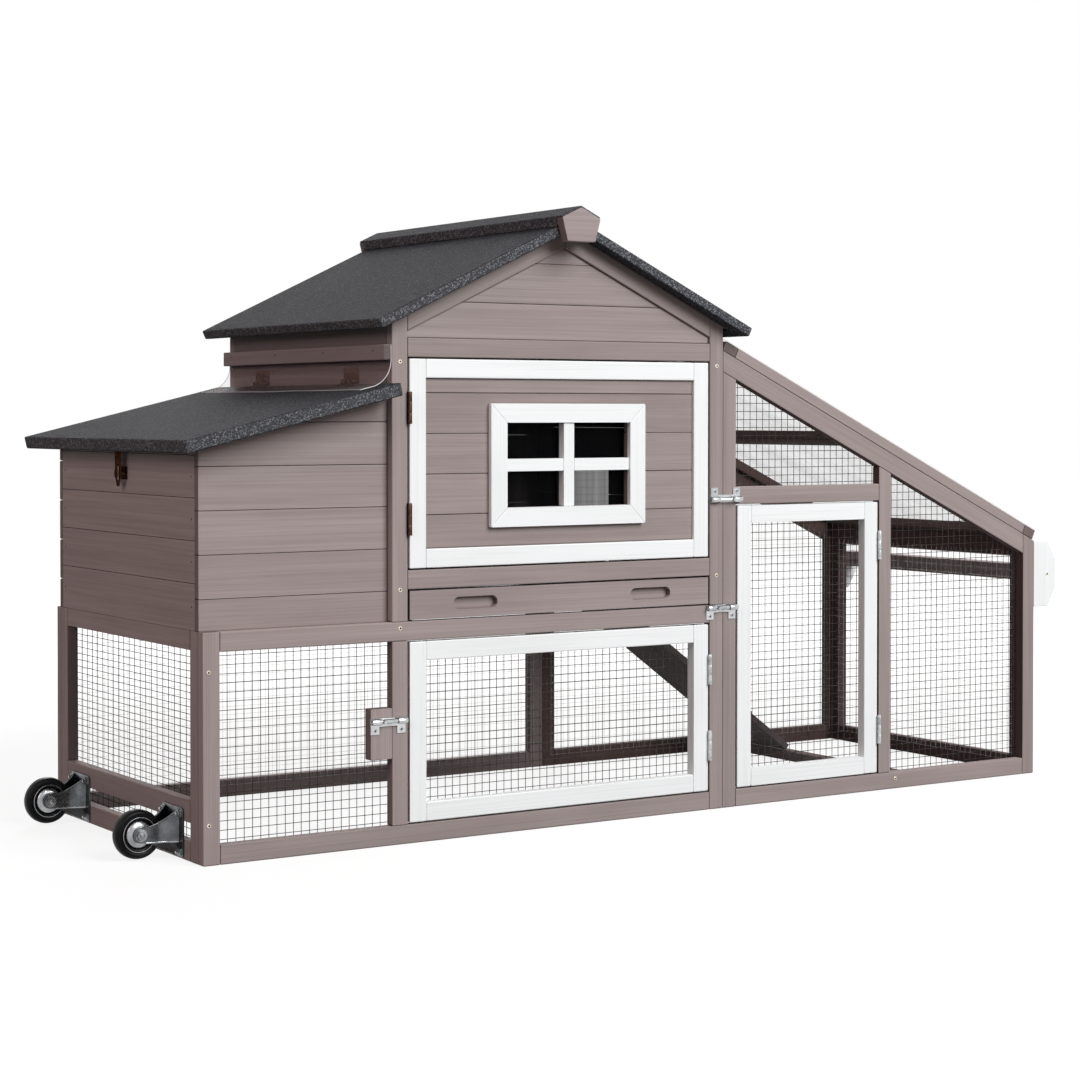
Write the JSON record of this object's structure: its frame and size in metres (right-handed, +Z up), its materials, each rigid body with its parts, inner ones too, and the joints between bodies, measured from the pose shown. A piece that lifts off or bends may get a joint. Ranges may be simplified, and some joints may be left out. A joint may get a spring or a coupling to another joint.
{
  "type": "chicken tractor",
  "caption": "Movable wooden poultry house with a hinged nest box, droppings tray, ramp and wire run, on castors at one end with a carrying handle at the other.",
  "frame": {"origin": "middle of the whole outline, on the ground", "axes": "+X along the length towards the run's handle, +Y from the door side to the back, +Z up"},
  "size_m": [1.8524, 0.676, 1.0073],
  "materials": {
    "taupe_wood": "taupe-grey stain on softwood",
    "white_wood": "white paint on softwood",
    "roof_felt": "mineral-surfaced bitumen felt",
    "clear_sheet": "clear plastic sheet",
    "wire": "dull galvanised welded wire",
    "zinc": "zinc plated",
    "bronze": "antique bronze plating",
    "tyre": "black rubber"
  },
  "bodies": {
    "frame": {"lower_side_frames": "taupe_wood", "lower_end_frame": "taupe_wood", "floor_bearers": "taupe_wood", "house_posts": "taupe_wood", "house_rails": "taupe_wood", "gable_boards": "taupe_wood", "house_back_boards": "taupe_wood", "house_side_boards": "taupe_wood", "perches": "taupe_wood", "nest_wall_boards": "taupe_wood", "nest_inner_boards": "taupe_wood", "roof_decks": "taupe_wood", "roof_felt": "roof_felt", "ridge_cap": "roof_felt", "ridge_ends": "taupe_wood", "flap_batten": "taupe_wood", "rain_flap": "clear_sheet", "run_side_frames": "taupe_wood", "run_end_frame": "taupe_wood", "run_roof_frame": "taupe_wood", "run_roof_sheet": "clear_sheet", "lower_mesh": "wire", "run_mesh": "wire", "castor_forks": "zinc", "castor_axles": "zinc", "handle_plates": "white_wood", "handle_bar": "taupe_wood", "zinc_hinge_leaves": "zinc", "bronze_fittings": "bronze", "hinge_pins": "zinc", "bolt_plates": "zinc", "frame_screws": "zinc"},
    "door_house": {"house_door_frame": "white_wood", "house_door_planks": "taupe_wood", "window_trim": "white_wood", "window_pane": "clear_sheet", "house_door_leaves": "bronze"},
    "door_lower": {"lower_door_frame": "white_wood", "lower_door_mesh": "wire", "lower_door_leaves": "zinc"},
    "door_run": {"run_door_frame": "white_wood", "run_door_mesh": "wire", "run_door_leaves": "zinc"},
    "tray": {"tray_front": "taupe_wood", "tray_pan": "zinc"},
    "lid": {"nest_lid": "taupe_wood", "lid_felt": "roof_felt", "lid_fittings": "bronze"},
    "hasp": {"hasp_strap": "bronze"},
    "bolt_house": {"house_bolt": "zinc"},
    "bolt_lower": {"lower_bolt": "zinc"},
    "bolt_run": {"run_bolt": "zinc"},
    "wheel_front": {"front_tyre": "tyre", "front_hub": "zinc"},
    "wheel_rear": {"rear_tyre": "tyre", "rear_hub": "zinc"},
    "ramp": {"ramp_board": "taupe_wood", "ramp_leaves": "zinc"}
  },
  "joints": [
    {"name": "house_door_swing", "type": "hinge", "parent": "frame", "child": "door_house", "pos_m": [-0.477, -0.2938, 0.5945], "axis": [0, 0, -1], "range_deg": [0, 110]},
    {"name": "lower_door_swing", "type": "hinge", "parent": "frame", "child": "door_lower", "pos_m": [0.1095, -0.2938, 0.174], "axis": [0, 0, 1], "range_deg": [0, 110]},
    {"name": "run_door_swing", "type": "hinge", "parent": "frame", "child": "door_run", "pos_m": [0.4875, -0.2938, 0.274], "axis": [0, 0, 1], "range_deg": [0, 110]},
    {"name": "nest_lid_lift", "type": "hinge", "parent": "frame", "child": "lid", "pos_m": [-0.51055, 0, 0.72434], "axis": [0, 1, 0], "range_deg": [0, 65], "deforming": ["rain_flap"]},
    {"name": "hasp_swing", "type": "hinge", "parent": "lid", "child": "hasp", "pos_m": [-0.83975, 0, 0.61774], "axis": [0, 1, 0], "range_deg": [-8, 70]},
    {"name": "tray_slide", "type": "slide", "parent": "frame", "child": "tray", "axis": [0, -1, 0], "range_m": [0, 0.45]},
    {"name": "house_bolt_slide", "type": "slide", "parent": "frame", "child": "bolt_house", "axis": [-1, 0, 0], "range_m": [0, 0.022]},
    {"name": "lower_bolt_slide", "type": "slide", "parent": "frame", "child": "bolt_lower", "axis": [1, 0, 0], "range_m": [0, 0.022]},
    {"name": "run_bolt_slide", "type": "slide", "parent": "frame", "child": "bolt_run", "axis": [1, 0, 0], "range_m": [0, 0.022]},
    {"name": "front_wheel_roll", "type": "hinge", "parent": "frame", "child": "wheel_front", "pos_m": [-0.88875, -0.184, 0.039], "axis": [0, 1, 0], "continuous": true},
    {"name": "rear_wheel_roll", "type": "hinge", "parent": "frame", "child": "wheel_rear", "pos_m": [-0.88875, 0.184, 0.039], "axis": [0, 1, 0], "continuous": true},
    {"name": "ramp_lift", "type": "hinge", "parent": "frame", "child": "ramp", "pos_m": [0.14305, 0.1625, 0.364], "axis": [0, -1, 0], "range_deg": [0, 45]}
  ]
}
